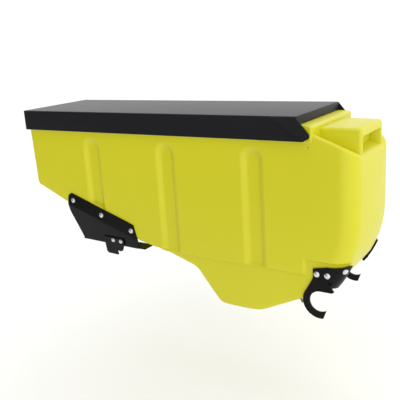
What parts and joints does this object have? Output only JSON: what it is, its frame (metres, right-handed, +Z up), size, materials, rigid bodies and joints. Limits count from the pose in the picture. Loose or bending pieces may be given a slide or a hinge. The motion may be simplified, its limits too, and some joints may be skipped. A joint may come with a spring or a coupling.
{
  "type": "hopper for a bar-mounted salt spreader",
  "caption": "Long moulded hopper with hinged lid, sloping floor, deep sump with slide gate, bar hooks and bolt-on feet, for spreading salt or sand.",
  "frame": {"origin": "axis of the carrying bar that the two hooks sit on, midway between the hooks", "axes": "+X along the hopper from the shallow end to the sump end, +Y across it along the carrying bar, +Z up"},
  "size_m": [1.3325, 0.3626, 0.6663],
  "materials": {
    "poly_yellow": "rotomoulded, semi-gloss",
    "lid_black": "satin, fine grain",
    "black_coat": "gloss powder coat",
    "zinc": "bright zinc plate",
    "galvanised": "galvanised sheet",
    "olive_zinc": "yellow passivated zinc",
    "nylon": "black nylon",
    "rubber": "matt"
  },
  "bodies": {
    "hopper": {"baffle": "galvanised", "foot_bolts_far": "zinc", "foot_bolts_near": "zinc", "foot_bracket_far": "black_coat", "foot_bracket_near": "black_coat", "foot_nuts_far": "zinc", "foot_nuts_near": "zinc", "gate_rail_far": "galvanised", "gate_rail_near": "galvanised", "hook_bolts_far": "zinc", "hook_bolts_near": "zinc", "hook_bracket_far": "black_coat", "hook_bracket_near": "black_coat", "hook_nuts_far": "zinc", "hook_nuts_near": "zinc", "hook_washers_far": "zinc", "hook_washers_near": "zinc", "hopper_shell": "poly_yellow", "keeper_screws": "zinc", "latch_keeper": "black_coat", "ledge_rivets_far": "zinc", "ledge_rivets_near": "zinc", "ledge_upright_far": "galvanised", "ledge_upright_near": "galvanised", "outlet_frame": "galvanised", "outlet_nuts": "zinc", "outlet_screws": "zinc", "pivot_bolt_far": "nylon", "pivot_bolt_near": "nylon", "pivot_insert_far": "zinc", "pivot_insert_near": "zinc", "pivot_washer_far": "nylon", "pivot_washer_near": "nylon", "rear_stud_collars": "olive_zinc", "rear_stud_nuts": "zinc", "rear_studs": "olive_zinc", "saddle_bolts_far": "zinc", "saddle_bolts_near": "zinc", "saddle_nuts_far": "zinc", "saddle_nuts_near": "zinc", "saddle_plate_far": "black_coat", "saddle_plate_near": "black_coat", "screen_ledge_far": "galvanised", "screen_ledge_near": "galvanised", "top_screen": "galvanised"},
    "lid": {"lid": "lid_black", "latch_bracket": "black_coat", "latch_pin": "zinc", "latch_rivets": "zinc"},
    "latch": {"latch_strap": "rubber"},
    "gate": {"outlet_gate": "galvanised"}
  },
  "joints": [
    {"name": "lid_hinge", "type": "hinge", "parent": "hopper", "child": "lid", "pos_m": [-0.035, 0, 0.512], "axis": [0, 1, 0], "range_deg": [0, 100]},
    {"name": "latch_swing", "type": "hinge", "parent": "lid", "child": "latch", "pos_m": [-1.214, 0, 0.522], "axis": [0, 1, 0], "range_deg": [0, 150]},
    {"name": "gate_slide", "type": "slide", "parent": "hopper", "child": "gate", "axis": [1, 0, 0], "range_m": [0, 0.102]}
  ]
}
